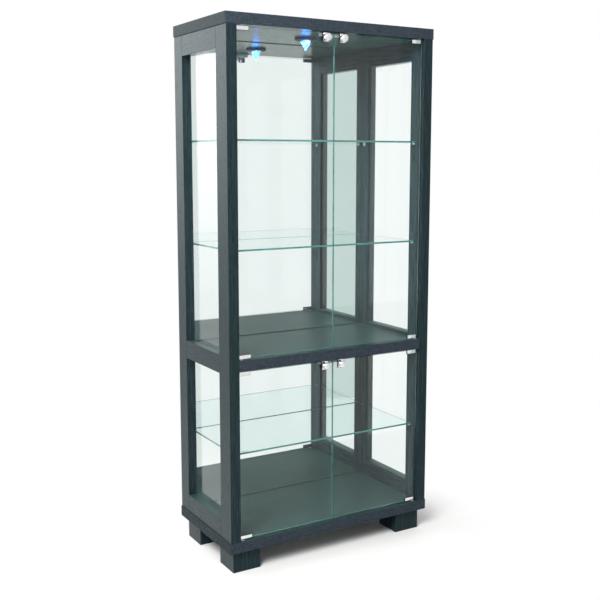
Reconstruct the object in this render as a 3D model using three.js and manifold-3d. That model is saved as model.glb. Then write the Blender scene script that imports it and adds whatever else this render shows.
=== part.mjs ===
// A glass display showcase: three thick veneered boards and two framed glass sides make the case,
// a mirror lines the back, and two pairs of frameless glass doors hang on pivot clamps.
// Millimetres. X runs to the right, Y to the back and Z up. The origin is on the floor, below the
// middle of the whole outline, knobs included. Left and right are those of a person facing the doors.

import * as THREE from 'three'
import { mergeVertices } from 'three/addons/utils/BufferGeometryUtils.js'
import { RoundedBoxGeometry } from 'three/addons/geometries/RoundedBoxGeometry.js'
import Module from 'manifold-3d'

const wasm = await Module()
wasm.setup()

// ---- The case ----
const WIDTH = 800
const DEPTH = 400 // of the boards, without the knobs
const HEIGHT = 1800
const BOARD = 36 // thickness of the boards and of the side frames
const ARRIS = 0.8 // softened edge of the veneered pieces
const GAP = 0.3 // between glued or resting faces
const KNOB_OVERHANG = 10 // how far the knobs stand out in front of the boards

const FRONT = (KNOB_OVERHANG - DEPTH) / 2 // front faces of the boards and stiles
const BACK = FRONT + DEPTH
const FOOT = 100
const FOOT_HEIGHT = 75
const FOOT_INSET = 20

const FLOOR_DECK = FOOT_HEIGHT + BOARD // top of the bottom board
const MIDDLE_DECK = 716 // top of the middle board
const LOWER_CEILING = MIDDLE_DECK - BOARD
const UPPER_CEILING = HEIGHT - BOARD

// ---- The side frames ----
const SIDE_INSET = 3 // from the ends of the boards
const OUTER_FACE = WIDTH / 2 - SIDE_INSET
const INNER_FACE = OUTER_FACE - BOARD
const FRONT_STILE = 75
const REAR_STILE = 64
const TOP_RAIL = 68
const MIDDLE_RAIL = 62 // centred on the middle board
const BOTTOM_RAIL = 60
const WINDOW_FRONT = FRONT + FRONT_STILE
const WINDOW_REAR = BACK - REAR_STILE
const MIDDLE_RAIL_BOTTOM = MIDDLE_DECK - (BOARD + MIDDLE_RAIL) / 2
const MIDDLE_RAIL_TOP = MIDDLE_RAIL_BOTTOM + MIDDLE_RAIL

const REBATE_DEPTH = 11 // in from the inner face: the pane and the bead that holds it
const REBATE_WIDTH = 10
const PANE = 5
const PANE_PLAY = 1

// ---- The back ----
const BACK_REBATE = 20 // deep, from the rear faces
const BACK_REBATE_WIDTH = 10
const BACK_PANEL = 5
const MIRROR = 4
const MIRROR_PLAY = 1
const MIRROR_REAR = BACK - BACK_REBATE
const MIRROR_FRONT = MIRROR_REAR - MIRROR

// ---- The shelves and their pins ----
const SHELF = 6
const SHELF_TOPS = { upper_shelf: 1418, middle_shelf: 1068, lower_shelf: 398 }
const SHELF_SIDE_PLAY = 2
const SHELF_FRONT = FRONT + 43
const SHELF_REAR_PLAY = 3
const PIN_PITCH = 32 // spare holes lie above and below each pin
const SPARE_HOLES = [1, -1, -2]
const PIN_HOLE_RADIUS = 2.6
const PIN_HOLE_DEPTH = 11
const PIN_SHAFT_RADIUS = 2.3
const PIN_SHAFT = 10
const PIN_COLLAR_RADIUS = 4
const PIN_COLLAR = 1.4
const PIN_STUB_RADIUS = 3
const PIN_STUB = 8.5
const PIN_NOSE = 0.5
const PIN_SIDES = 8
const FRONT_PIN_Y = FRONT + 51
const REAR_PIN_Y = BACK - 44

// ---- The doors ----
const DOOR_GLASS = 5
const DOOR_SETBACK = 12 // glass behind the front faces
const DOOR_FRONT = FRONT + DOOR_SETBACK
const DOOR_CENTRE = DOOR_FRONT + DOOR_GLASS / 2
const DOOR_SIDE_PLAY = 3
const DOOR_SEAM = 3
const DOOR_END_PLAY = 4.5 // above and below the glass
const PIVOT_FROM_EDGE = 9 // from the hinge edge of the glass
const CLAMP_WIDTH = 41
const CLAMP_INSET = 1.5 // from the hinge edge of the glass
const CLAMP_HEIGHT = 13
const CLAMP_WALL = 2.2
const CLAMP_END_PLAY = 2.5
const CLAMP_EDGE = 0.6
const PIVOT_RADIUS = 2
const PIVOT_REACH = 8 // into the board
const PIVOT_SIDES = 12
const BUSH_RADIUS = 4.5
const BUSH_DEPTH = 10

// ---- The pulls and the magnetic catches ----
const PULL_FROM_CENTRE = 32
const PULL_DROP = 18 // knob centre below the ceiling
const CLIP_WIDTH = 22
const CLIP_HEIGHT = 29
const CLIP_WALL = 1.6
const KNOB_RADIUS = 12.5
const KNOB_DOME = 6 // from the knob's widest place to its tip
const KNOB_DOME_STEPS = [0.2, 0.42, 0.64, 0.84] // shares of a quarter turn, widest place to tip
const KNOB_UNDERSIDE = 4.5 // from the neck to the knob's widest place
const KNOB_RIM = 1.5 // height of the slanted rim under the widest place
const KNOB_BEVEL = 1
const KNOB_NECK_RADIUS = 5
const KNOB_FLARE = 2 // of the neck at the clip
const KNOB_FLARE_HEIGHTS = [0.8, 2.4]
const KNOB_SIDES = 20
const CATCH_WIDTH = 96
const CATCH_DEPTH = 17
const CATCH_HEIGHT = 13
const CATCH_PLATE_WIDTH = 112
const CATCH_PLATE = 2
const CATCH_PLATE_INSET = 2 // behind the housing's front
const CATCH_EDGE = 1
const CATCH_PLATE_EDGE = 0.5
const CATCH_PLAY = 0.6 // between the shut pulls and the catch

// ---- The lamp in the upper ceiling ----
const LAMP_Y = (FRONT + BACK) / 2 - 5
const LAMP_RECESS_RADIUS = 29.5
const LAMP_RECESS = 25
const LAMP_CAN_RADIUS = 29
const LAMP_CAN = 24
const LAMP_WALL = 3
const LAMP_DISC_RADIUS = 38
const LAMP_DISC = 7
const LAMP_DISC_FLOOR = 4 // thickness of the disc under the can
const LAMP_DISC_FLAT = 33 // radius where the disc's flat face ends
const LAMP_DISC_SLOPE = 2.5 // rise of the slope outside the flat face
const LAMP_DISC_RIM = 4.5 // rise of the whole rounded edge
const LAMP_DISC_ROUNDING = 1
const LAMP_MOUTH_RADIUS = 13
const LAMP_SIDES = 24
const CRYSTAL_RADIUS = 17
const CRYSTAL_LENGTH = 33
const CRYSTAL_SIDES = 12
const CRYSTAL_GIRDLE = 4 // height of the belt round the widest place
const CRYSTAL_TABLE = 1 // how far the top is drawn in from the girdle
const CRYSTAL_NECK = 3 // up into the disc's mouth
const CRYSTAL_NECK_PLAY = 0.6
const CRYSTAL_BALL = [[3.2, 0.8], [4.5, 3.5], [3.3, 6]] // radius and height above the tip
const CRYSTAL_CONE_START = [5.2, 8]
const LEAD_HOLE_RADIUS = 5
const LEAD_HOLE_Z = HEIGHT - 18
const GROMMET_RADIUS = 8
const GROMMET_FLANGE = 2.3
const GROMMET_SLEEVE_RADIUS = 4.7
const GROMMET_SLEEVE = 9
const GROMMET_BORE = 2.5
const GROMMET_EDGE = 0.8

const HOLE_SIDES = 16
const PASS = 1 // how far a cutter runs past the face that it opens

const COLOURS = {
  veneer: [0x2b3438, 0.45, 0.0],
  pane: [0xcfe3dd, 0.05, 0.0],
  mirror: [0xe6eceb, 0.03, 1.0],
  backing: [0x2d2f31, 0.7, 0.0],
  chrome: [0xd9dcde, 0.12, 1.0],
  clear_plastic: [0xdfe8e6, 0.2, 0.0],
  grey_plastic: [0xaebab6, 0.5, 0.0],
  lamp_metal: [0x30363a, 0.35, 0.8],
  crystal: [0xdceeff, 0.03, 0.0],
  rubber: [0x1c1d1e, 0.8, 0.0],
}

const group = new THREE.Group()

// ---- Shaping ----

// The closed solid of a geometry: only positions, shared corners merged, flat triangles dropped.
function solidOf(geometry) {
  const bare = geometry.clone()
  bare.deleteAttribute('normal')
  bare.deleteAttribute('uv')
  const merged = mergeVertices(bare, 1e-4)
  const index = merged.index.array
  const corners = []
  for (let i = 0; i < index.length; i += 3) {
    const [a, b, c] = index.slice(i, i + 3)
    if (a !== b && b !== c && a !== c) corners.push(a, b, c)
  }
  const vertProperties = new Float32Array(merged.attributes.position.array)
  return new wasm.Manifold(new wasm.Mesh({ numProp: 3, vertProperties, triVerts: new Uint32Array(corners) }))
}

function geometryOf(solid) {
  const mesh = solid.getMesh()
  const geometry = new THREE.BufferGeometry()
  geometry.setAttribute('position', new THREE.BufferAttribute(new Float32Array(mesh.vertProperties), 3))
  geometry.setIndex(new THREE.BufferAttribute(new Uint32Array(mesh.triVerts), 1))
  return geometry
}

const carved = (geometry, cutters) =>
  geometryOf(cutters.reduce((solid, cutter) => solid.subtract(solidOf(cutter)), solidOf(geometry)))

const joined = (geometries) =>
  geometryOf(geometries.map(solidOf).reduce((whole, piece) => whole.add(piece)))

const boxBetween = (low, high) =>
  new THREE.BoxGeometry(...high.map((v, i) => v - low[i])).translate(...high.map((v, i) => (v + low[i]) / 2))

// Two distances off the middle plane as X values of one side, the lower first.
const across = (side, near, far) => (side < 0 ? [-far, -near] : [near, far])

// A round rod or hole from a point, running a length along +X, +Y or +Z; a minus length runs back.
function rod(axis, start, length, radius, sides = HOLE_SIDES) {
  const geometry = new THREE.CylinderGeometry(radius, radius, Math.abs(length), sides)
  geometry.translate(0, length / 2, 0)
  if (axis === 'x') geometry.rotateZ(-Math.PI / 2)
  if (axis === 'z') geometry.rotateX(Math.PI / 2)
  return geometry.translate(...start)
}

// A turned piece standing on +Z, from [radius, height] pairs that run upwards on the outside.
const turned = (profile, sides) =>
  new THREE.LatheGeometry(profile.map(([r, z]) => new THREE.Vector2(r, z)), sides).rotateX(Math.PI / 2)

// ---- Placing ----

function place(name, finish, geometry, at = [0, 0, 0]) {
  const [color, roughness, metalness] = COLOURS[finish]
  const mesh = new THREE.Mesh(geometry, new THREE.MeshStandardMaterial({ color, roughness, metalness }))
  mesh.name = name
  mesh.position.set(...at)
  group.add(mesh)
  return mesh
}

// A block between two corners with softened edges, and cuts given where they are in the showcase.
function block(name, finish, low, high, { arris = ARRIS, cuts = [] } = {}) {
  const size = high.map((v, i) => v - low[i])
  const centre = high.map((v, i) => (v + low[i]) / 2)
  const whole = new RoundedBoxGeometry(...size, 1, arris)
  const local = cuts.map((cutter) => cutter.translate(...centre.map((v) => -v)))
  return place(name, finish, local.length ? carved(whole, local) : whole, centre)
}

// The same block on the left (side -1) or the right (side 1), from distances off the middle plane.
function sideBlock(name, finish, side, near, far, low, high, options) {
  const [x0, x1] = across(side, near, far)
  return block(name, finish, [x0, ...low], [x1, ...high], options)
}

const SIDES = { left: -1, right: 1 }
const LEVELS = {
  upper: {
    deck: MIDDLE_DECK,
    ceiling: UPPER_CEILING,
    windowBottom: MIDDLE_RAIL_TOP,
    windowTop: UPPER_CEILING - TOP_RAIL,
  },
  lower: {
    deck: FLOOR_DECK,
    ceiling: LOWER_CEILING,
    windowBottom: FLOOR_DECK + BOTTOM_RAIL,
    windowTop: MIDDLE_RAIL_BOTTOM,
  },
}

// ---- Boards and feet ----

// The bush holes for the door pivots that a board holds in its top face, its underside or both.
function pivotHoles(surface, direction) {
  const x = INNER_FACE - DOOR_SIDE_PLAY - PIVOT_FROM_EDGE
  const length = direction * (BUSH_DEPTH + PASS)
  return Object.values(SIDES).map((side) =>
    rod('z', [side * x, DOOR_CENTRE, surface - direction * PASS], length, BUSH_RADIUS))
}

function boards() {
  const half = WIDTH / 2
  const panelHalf = INNER_FACE + BACK_REBATE_WIDTH
  const rebateLow = BACK - BACK_REBATE
  block('bottom_board', 'veneer', [-half, FRONT, FOOT_HEIGHT], [half, BACK, FLOOR_DECK], {
    cuts: [
      ...pivotHoles(FLOOR_DECK, -1),
      boxBetween([-panelHalf, rebateLow, FLOOR_DECK - BACK_REBATE_WIDTH],
        [panelHalf, BACK + PASS, FLOOR_DECK + PASS]),
    ],
  })
  const inner = INNER_FACE - GAP
  block('middle_board', 'veneer', [-inner, FRONT, LOWER_CEILING], [inner, MIRROR_REAR, MIDDLE_DECK], {
    cuts: [...pivotHoles(MIDDLE_DECK, -1), ...pivotHoles(LOWER_CEILING, 1)],
  })
  block('top_board', 'veneer', [-half, FRONT, UPPER_CEILING], [half, BACK, HEIGHT], {
    cuts: [
      ...pivotHoles(UPPER_CEILING, 1),
      boxBetween([-panelHalf, rebateLow, UPPER_CEILING - PASS],
        [panelHalf, BACK + PASS, UPPER_CEILING + BACK_REBATE_WIDTH]),
      rod('z', [0, LAMP_Y, UPPER_CEILING - PASS], LAMP_RECESS + PASS, LAMP_RECESS_RADIUS, LAMP_SIDES),
      rod('y', [0, LAMP_Y, LEAD_HOLE_Z], BACK + PASS - LAMP_Y, LEAD_HOLE_RADIUS),
      rod('y', [0, BACK + PASS, LEAD_HOLE_Z], -(GROMMET_FLANGE + GAP + PASS), GROMMET_RADIUS + GAP),
    ],
  })
}

function feet() {
  const near = WIDTH / 2 - FOOT_INSET - FOOT
  const rows = { front: FRONT + FOOT_INSET, rear: BACK - FOOT_INSET - FOOT }
  for (const [row, y] of Object.entries(rows)) {
    for (const [hand, side] of Object.entries(SIDES)) {
      sideBlock(`${row}_${hand}_foot`, 'veneer', side, near, near + FOOT, [y, 0],
        [y + FOOT, FOOT_HEIGHT - GAP])
    }
  }
}

// ---- Side frames ----

// The pin holes bored across a stile from its inner face, for every shelf.
function pinHoles(side, y) {
  const holes = []
  for (const top of Object.values(SHELF_TOPS)) {
    for (const step of [0, ...SPARE_HOLES]) {
      const z = top - SHELF - PIN_STUB_RADIUS + step * PIN_PITCH
      const start = [side * (INNER_FACE - PASS), y, z]
      holes.push(rod('x', start, side * (PIN_HOLE_DEPTH + PASS), PIN_HOLE_RADIUS, PIN_SIDES))
    }
  }
  return holes
}

// The rebate that takes a pane and its bead, cut into the frame all round a window.
function paneRebate(side, level) {
  const [x0, x1] = across(side, INNER_FACE - PASS, INNER_FACE + REBATE_DEPTH)
  return boxBetween([x0, WINDOW_FRONT - REBATE_WIDTH, level.windowBottom - REBATE_WIDTH],
    [x1, WINDOW_REAR + REBATE_WIDTH, level.windowTop + REBATE_WIDTH])
}

function sideFrame(hand, side) {
  const { upper, lower } = LEVELS
  const rebates = (levels) => levels.map((level) => paneRebate(side, level))
  const [x0, x1] = across(side, INNER_FACE - PASS, INNER_FACE + BACK_REBATE_WIDTH)
  const [bottom, top] = [FLOOR_DECK + GAP, UPPER_CEILING - GAP]
  const piece = (name, y0, y1, z0, z1, cuts) =>
    sideBlock(`${hand}_${name}`, 'veneer', side, INNER_FACE, OUTER_FACE, [y0, z0], [y1, z1], { cuts })

  piece('front_stile', FRONT, WINDOW_FRONT, bottom, top, [
    ...rebates([upper, lower]),
    ...pinHoles(side, FRONT_PIN_Y),
  ])
  piece('rear_stile', WINDOW_REAR, BACK, bottom, top, [
    ...rebates([upper, lower]),
    ...pinHoles(side, REAR_PIN_Y),
    boxBetween([x0, MIRROR_REAR, bottom - PASS], [x1, BACK + PASS, top + PASS]),
  ])
  const [y0, y1] = [WINDOW_FRONT + GAP, WINDOW_REAR - GAP]
  piece('top_rail', y0, y1, upper.windowTop, top, rebates([upper]))
  piece('middle_rail', y0, y1, MIDDLE_RAIL_BOTTOM, MIDDLE_RAIL_TOP, rebates([upper, lower]))
  piece('bottom_rail', y0, y1, bottom, lower.windowBottom, rebates([lower]))
}

function sidePanes(hand, side) {
  const reach = REBATE_WIDTH - PANE_PLAY
  const far = INNER_FACE + REBATE_DEPTH - GAP
  for (const [storey, level] of Object.entries(LEVELS)) {
    sideBlock(`${hand}_${storey}_pane`, 'pane', side, far - PANE, far,
      [WINDOW_FRONT - reach, level.windowBottom - reach], [WINDOW_REAR + reach, level.windowTop + reach])
  }
}

// ---- Back ----

function back() {
  const panelHalf = INNER_FACE + BACK_REBATE_WIDTH - GAP
  const reach = BACK_REBATE_WIDTH - GAP
  const panelFront = MIRROR_REAR + GAP
  block('back_panel', 'backing', [-panelHalf, panelFront, FLOOR_DECK - reach],
    [panelHalf, panelFront + BACK_PANEL, UPPER_CEILING + reach])
  const half = INNER_FACE - MIRROR_PLAY
  for (const [storey, { deck, ceiling }] of Object.entries(LEVELS)) {
    block(`${storey}_mirror`, 'mirror', [-half, MIRROR_FRONT, deck + MIRROR_PLAY],
      [half, MIRROR_REAR, ceiling - MIRROR_PLAY])
  }
}

// ---- Shelves ----

// A shelf pin along +X: the shaft in the stile, a collar on its face and the stub that carries the glass.
function pinGeometry() {
  const collarBack = PIN_STUB - PIN_COLLAR
  const profile = [
    [0, 0], [PIN_STUB_RADIUS - PIN_NOSE, 0], [PIN_STUB_RADIUS, PIN_NOSE], [PIN_STUB_RADIUS, collarBack],
    [PIN_COLLAR_RADIUS, collarBack], [PIN_COLLAR_RADIUS, PIN_STUB],
    [PIN_SHAFT_RADIUS, PIN_STUB], [PIN_SHAFT_RADIUS, PIN_STUB + PIN_SHAFT], [0, PIN_STUB + PIN_SHAFT],
  ]
  return turned(profile, PIN_SIDES).rotateY(Math.PI / 2)
}

function shelves() {
  const half = INNER_FACE - SHELF_SIDE_PLAY
  const stations = { front: FRONT_PIN_Y, rear: REAR_PIN_Y }
  for (const [name, top] of Object.entries(SHELF_TOPS)) {
    const pinZ = top - SHELF - PIN_STUB_RADIUS - GAP
    block(name, 'pane', [-half, SHELF_FRONT, top - SHELF], [half, MIRROR_FRONT - SHELF_REAR_PLAY, top])
    for (const [row, y] of Object.entries(stations)) {
      for (const [hand, side] of Object.entries(SIDES)) {
        const at = [side * (INNER_FACE - GAP - PIN_STUB), y, pinZ]
        const pin = place(`${name}_${row}_${hand}_pin`, 'clear_plastic', pinGeometry(), at)
        pin.rotation.z = side < 0 ? Math.PI : 0
      }
    }
  }
}

// ---- Doors ----

// A channel that grips the glass at its top edge: a block with a slot open below, and what is added to it.
// Its origin is on the middle of its top face, and the glass runs along X.
function channel(width, height, wall, extras) {
  const half = DOOR_GLASS / 2 + GAP
  const outer = new RoundedBoxGeometry(width, 2 * (half + wall), height, 1, CLAMP_EDGE)
  outer.translate(0, 0, -height / 2)
  const roof = DOOR_END_PLAY - CLAMP_END_PLAY - GAP
  const slot = boxBetween([-width, -half, -height - PASS], [width, half, -roof])
  return joined([carved(outer, [slot]), ...extras])
}

// The pivot stands on the clamp above the axis, which is off the middle of the clamp.
function clampGeometry(side) {
  const offset = side * (CLAMP_INSET + CLAMP_WIDTH / 2 - PIVOT_FROM_EDGE)
  const length = CLAMP_END_PLAY + PIVOT_REACH + PASS / 2
  const pivot = rod('z', [offset, 0, -PASS / 2], length, PIVOT_RADIUS, PIVOT_SIDES)
  return channel(CLAMP_WIDTH, CLAMP_HEIGHT, CLAMP_WALL, [pivot])
}

// A domed knob on a waisted neck, turned on the -Y axis from the front wall of its clip.
function pullGeometry() {
  const wallFace = DOOR_GLASS / 2 + GAP + CLIP_WALL
  const inWall = wallFace - CLIP_WALL / 2
  const tip = DOOR_SETBACK + KNOB_OVERHANG + DOOR_GLASS / 2
  const widest = tip - KNOB_DOME
  const flare = KNOB_NECK_RADIUS + KNOB_FLARE
  const [flareEnd, neckStart] = KNOB_FLARE_HEIGHTS.map((height) => wallFace + height)
  const dome = KNOB_DOME_STEPS.map((share) => {
    const angle = (share * Math.PI) / 2
    return [KNOB_RADIUS * Math.cos(angle), widest + KNOB_DOME * Math.sin(angle)]
  })
  const profile = [
    [0, inWall], [flare, inWall], [flare, flareEnd], [KNOB_NECK_RADIUS, neckStart],
    [KNOB_NECK_RADIUS, widest - KNOB_UNDERSIDE], [KNOB_RADIUS - KNOB_BEVEL, widest - KNOB_RIM],
    [KNOB_RADIUS, widest], ...dome, [0, tip],
  ]
  const knob = turned(profile, KNOB_SIDES).rotateX(Math.PI / 2).translate(0, 0, CLAMP_END_PLAY - PULL_DROP)
  return channel(CLIP_WIDTH, CLIP_HEIGHT, CLIP_WALL, [knob])
}

function door(storey, hand, side) {
  const { deck, ceiling } = LEVELS[storey]
  const name = `${storey}_${hand}_door`
  const edge = INNER_FACE - DOOR_SIDE_PLAY
  sideBlock(`${name}_glass`, 'pane', side, DOOR_SEAM / 2, edge, [DOOR_FRONT, deck + DOOR_END_PLAY],
    [DOOR_FRONT + DOOR_GLASS, ceiling - DOOR_END_PLAY])
  const clampX = side * (edge - CLAMP_INSET - CLAMP_WIDTH / 2)
  place(`${name}_top_clamp`, 'chrome', clampGeometry(side), [clampX, DOOR_CENTRE, ceiling - CLAMP_END_PLAY])
  const bottomClamp = place(`${name}_bottom_clamp`, 'chrome', clampGeometry(side),
    [clampX, DOOR_CENTRE, deck + CLAMP_END_PLAY])
  bottomClamp.rotation.x = Math.PI
  place(`${name}_pull`, 'chrome', pullGeometry(),
    [side * PULL_FROM_CENTRE, DOOR_CENTRE, ceiling - CLAMP_END_PLAY])
}

// The double magnetic catch screwed under a ceiling, just behind the shut pulls.
function magneticCatch(storey) {
  const { ceiling } = LEVELS[storey]
  const front = DOOR_CENTRE + DOOR_GLASS / 2 + GAP + CLIP_WALL + CATCH_PLAY
  const body = new RoundedBoxGeometry(CATCH_WIDTH, CATCH_DEPTH, CATCH_HEIGHT, 1, CATCH_EDGE)
  const plateDepth = CATCH_DEPTH - CATCH_PLATE_INSET
  const plate = new RoundedBoxGeometry(CATCH_PLATE_WIDTH, plateDepth, CATCH_PLATE, 1, CATCH_PLATE_EDGE)
  const geometry = joined([
    body.translate(0, CATCH_DEPTH / 2, -CATCH_HEIGHT / 2),
    plate.translate(0, CATCH_DEPTH / 2, -CATCH_PLATE / 2),
  ])
  place(`${storey}_catch`, 'grey_plastic', geometry, [0, front, ceiling - GAP])
}

// ---- Lamp ----

// The can hides in the top board, and its dark disc lies under the ceiling with an open mouth for the light.
function lampBodyGeometry() {
  const inside = LAMP_CAN_RADIUS - LAMP_WALL
  const floor = LAMP_DISC_FLOOR - LAMP_DISC
  return turned([
    [0, LAMP_CAN - LAMP_WALL], [inside, LAMP_CAN - LAMP_WALL], [inside, floor],
    [LAMP_MOUTH_RADIUS, floor], [LAMP_MOUTH_RADIUS, -LAMP_DISC], [LAMP_DISC_FLAT, -LAMP_DISC],
    [LAMP_DISC_RADIUS - LAMP_DISC_ROUNDING, LAMP_DISC_SLOPE - LAMP_DISC],
    [LAMP_DISC_RADIUS, LAMP_DISC_RIM - LAMP_DISC],
    [LAMP_DISC_RADIUS, 0], [LAMP_CAN_RADIUS, 0], [LAMP_CAN_RADIUS, LAMP_CAN], [0, LAMP_CAN],
  ], LAMP_SIDES)
}

// A cut crystal with a neck in the disc's mouth, a wide girdle, a long cone and a small round tip.
function crystalGeometry() {
  const neck = LAMP_MOUTH_RADIUS - CRYSTAL_NECK_PLAY
  const tip = [...CRYSTAL_BALL, CRYSTAL_CONE_START]
    .map(([radius, height]) => [radius, height - CRYSTAL_LENGTH])
  return turned([
    [0, -CRYSTAL_LENGTH], ...tip, [CRYSTAL_RADIUS, -CRYSTAL_GIRDLE], [CRYSTAL_RADIUS - CRYSTAL_TABLE, 0],
    [neck, 0], [neck, CRYSTAL_NECK], [0, CRYSTAL_NECK],
  ], CRYSTAL_SIDES)
}

// The grommet lines the lead hole at the rear edge of the top board, with its flange let in flush.
function grommetGeometry() {
  const end = GROMMET_FLANGE + GROMMET_SLEEVE
  const profile = [
    [GROMMET_BORE, end], [GROMMET_BORE, 0], [GROMMET_RADIUS - GROMMET_EDGE, 0],
    [GROMMET_RADIUS, GROMMET_EDGE], [GROMMET_RADIUS, GROMMET_FLANGE],
    [GROMMET_SLEEVE_RADIUS, GROMMET_FLANGE], [GROMMET_SLEEVE_RADIUS, end], [GROMMET_BORE, end],
  ]
  return turned(profile, HOLE_SIDES).rotateX(Math.PI / 2)
}

function lamp() {
  place('lamp_body', 'lamp_metal', lampBodyGeometry(), [0, LAMP_Y, UPPER_CEILING - GAP])
  place('lamp_crystal', 'crystal', crystalGeometry(), [0, LAMP_Y, UPPER_CEILING - LAMP_DISC - 2 * GAP])
  place('lead_grommet', 'rubber', grommetGeometry(), [0, BACK, LEAD_HOLE_Z])
}

// ---- The whole showcase ----

boards()
feet()
for (const [hand, side] of Object.entries(SIDES)) {
  sideFrame(hand, side)
  sidePanes(hand, side)
}
back()
shelves()
for (const storey of Object.keys(LEVELS)) {
  for (const [hand, side] of Object.entries(SIDES)) door(storey, hand, side)
  magneticCatch(storey)
}
lamp()

export default group
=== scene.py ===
"""A glass display showcase: finishes, glass and small fittings around its fixed frame.

Metres. X runs to the right, Y to the back and Z up, as a person facing the doors sees them. Every place
comes from the boxes of the frame's nodes, and the sizes below are those of the small pieces that the frame
leaves out.
"""

import math

import bmesh
import bpy
import numpy as np
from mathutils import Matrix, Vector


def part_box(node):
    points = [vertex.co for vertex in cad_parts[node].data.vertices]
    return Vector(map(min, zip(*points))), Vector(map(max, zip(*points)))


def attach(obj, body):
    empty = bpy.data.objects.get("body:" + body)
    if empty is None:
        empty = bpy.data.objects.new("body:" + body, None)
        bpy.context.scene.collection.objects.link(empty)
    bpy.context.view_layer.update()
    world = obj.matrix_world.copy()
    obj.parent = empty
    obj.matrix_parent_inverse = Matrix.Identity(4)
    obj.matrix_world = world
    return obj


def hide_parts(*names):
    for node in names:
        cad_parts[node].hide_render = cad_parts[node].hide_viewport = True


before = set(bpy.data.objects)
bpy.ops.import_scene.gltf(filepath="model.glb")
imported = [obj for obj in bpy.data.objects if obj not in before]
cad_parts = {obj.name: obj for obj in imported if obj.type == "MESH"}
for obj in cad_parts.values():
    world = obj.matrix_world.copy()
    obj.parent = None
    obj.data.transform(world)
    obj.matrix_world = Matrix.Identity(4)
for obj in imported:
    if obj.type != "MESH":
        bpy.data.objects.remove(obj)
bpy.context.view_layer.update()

MM = 0.001
HANDS = {"left": -1, "right": 1}
STOREYS = ("upper", "lower")
SHELVES = ("upper_shelf", "middle_shelf", "lower_shelf")

# ---- Shapes: every shell is (points, faces, marks), and a mark is the number of its finish ----


def unit(vectors):
    """Each vector divided by its own length."""
    return vectors / np.linalg.norm(vectors, axis=-1, keepdims=True)


def softened(corners, radius, steps=4):
    """A closed outline whose corners are short curves: the quadratic curve that starts one radius before a
    corner, is drawn towards it, and ends one radius after it."""
    corners = np.array(corners, float)
    radii = np.broadcast_to(np.array(radius, float), len(corners))[:, None]
    to_last = (unit(np.roll(corners, 1, axis=0) - corners) * radii)[:, None]
    to_next = (unit(np.roll(corners, -1, axis=0) - corners) * radii)[:, None]
    t = np.linspace(0, 1, steps + 1)[None, :, None]
    return (corners[:, None] + (1 - t) ** 2 * to_last + t**2 * to_next).reshape(-1, 2)


def rectangle(width, height, radius, steps=4):
    """A rectangle about the middle, anticlockwise, with softened corners."""
    half = np.array([width, height]) / 2
    return softened(np.array([[-1, -1], [1, -1], [1, 1], [-1, 1]]) * half, radius, steps)


def inward(outline):
    """At each point of an anticlockwise outline, the vector that moves both neighbouring sides in by one."""
    after = unit(np.roll(outline, -1, axis=0) - outline)
    before = np.roll(after, 1, axis=0)
    left = np.stack([-(before + after)[:, 1], (before + after)[:, 0]], axis=-1)
    return 2 * left / (left**2).sum(axis=-1, keepdims=True)


def soft_ends(length, radius, steps=3):
    """(inset, height) pairs along a length: a quarter circle in from each end, and straight between them."""
    turn = np.linspace(0, np.pi / 2, steps + 1)
    start = radius * np.stack([1 - np.sin(turn), 1 - np.cos(turn)], axis=-1)
    return np.concatenate([start, start[::-1] * [1, -1] + [0, length]])


def skin(rings, endless=False, side_mark=0, end_mark=0):
    """Four-sided faces between neighbouring rings of points, each ring closed round. The first and the last
    ring get a flat face each, or are joined to each other where the row of rings is endless."""
    rings = np.asarray(rings, float)
    count, around = rings.shape[:2]
    ids = np.arange(count * around).reshape(count, around)
    low, high = (ids, np.roll(ids, -1, axis=0)) if endless else (ids[:-1], ids[1:])
    faces = np.stack([low, np.roll(low, -1, axis=1), np.roll(high, -1, axis=1), high], axis=-1)
    faces = faces.reshape(-1, 4).tolist()
    marks = [side_mark] * len(faces)
    if not endless:
        faces += [ids[0, ::-1].tolist(), ids[-1].tolist()]
        marks += [end_mark] * 2
    return rings.reshape(-1, 3), faces, marks


def prism(outline, section, axis, base, side_mark=0, end_mark=0):
    """An outline carried along an axis from its base point, moved in by each inset of the section at each of
    its heights. The outline lies in the other two axes, in their order."""
    insets, heights = np.array(section, float).T
    across = [i for i in range(3) if i != axis]
    rings = np.empty((len(insets), len(outline), 3))
    flat = outline[None] + insets[:, None, None] * inward(outline)[None]
    rings[..., across[0]] = flat[..., 0] + base[across[0]]
    rings[..., across[1]] = flat[..., 1] + base[across[1]]
    rings[..., axis] = heights[:, None] + base[axis]
    return skin(rings, side_mark=side_mark, end_mark=end_mark)


def turned(radii, heights, base, axis, way=1, sides=48, endless=False):
    """Radii carried once round an axis through the base point, each at its height along the axis in the way
    given. Radii are one number for a ring, or a row with one number for each side."""
    angle = np.linspace(0, 2 * np.pi, sides, endpoint=False)
    radii = np.array(radii, float)
    radii = radii if radii.ndim == 2 else np.repeat(radii[:, None], sides, axis=1)
    rings = np.empty(radii.shape + (3,))
    rings[..., (axis + 1) % 3] = base[(axis + 1) % 3] + radii * np.cos(angle)
    rings[..., (axis + 2) % 3] = base[(axis + 2) % 3] + radii * np.sin(angle)
    rings[..., axis] = base[axis] + way * np.array(heights, float)[:, None]
    return skin(rings, endless=endless)


def dome(radius, base, rise, steps=8):
    """(radius, height) pairs of a quarter ellipse from a rim at the base height up to nearly its top."""
    turn = np.linspace(0, np.pi / 2 * 0.97, steps + 1)
    return np.stack([radius * np.cos(turn), base + rise * np.sin(turn)], axis=-1)


def outward(mesh):
    """Turns the faces of each closed shell outwards."""
    work = bmesh.new()
    work.from_mesh(mesh)
    bmesh.ops.recalc_face_normals(work, faces=work.faces)
    work.to_mesh(mesh)
    work.free()


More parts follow.
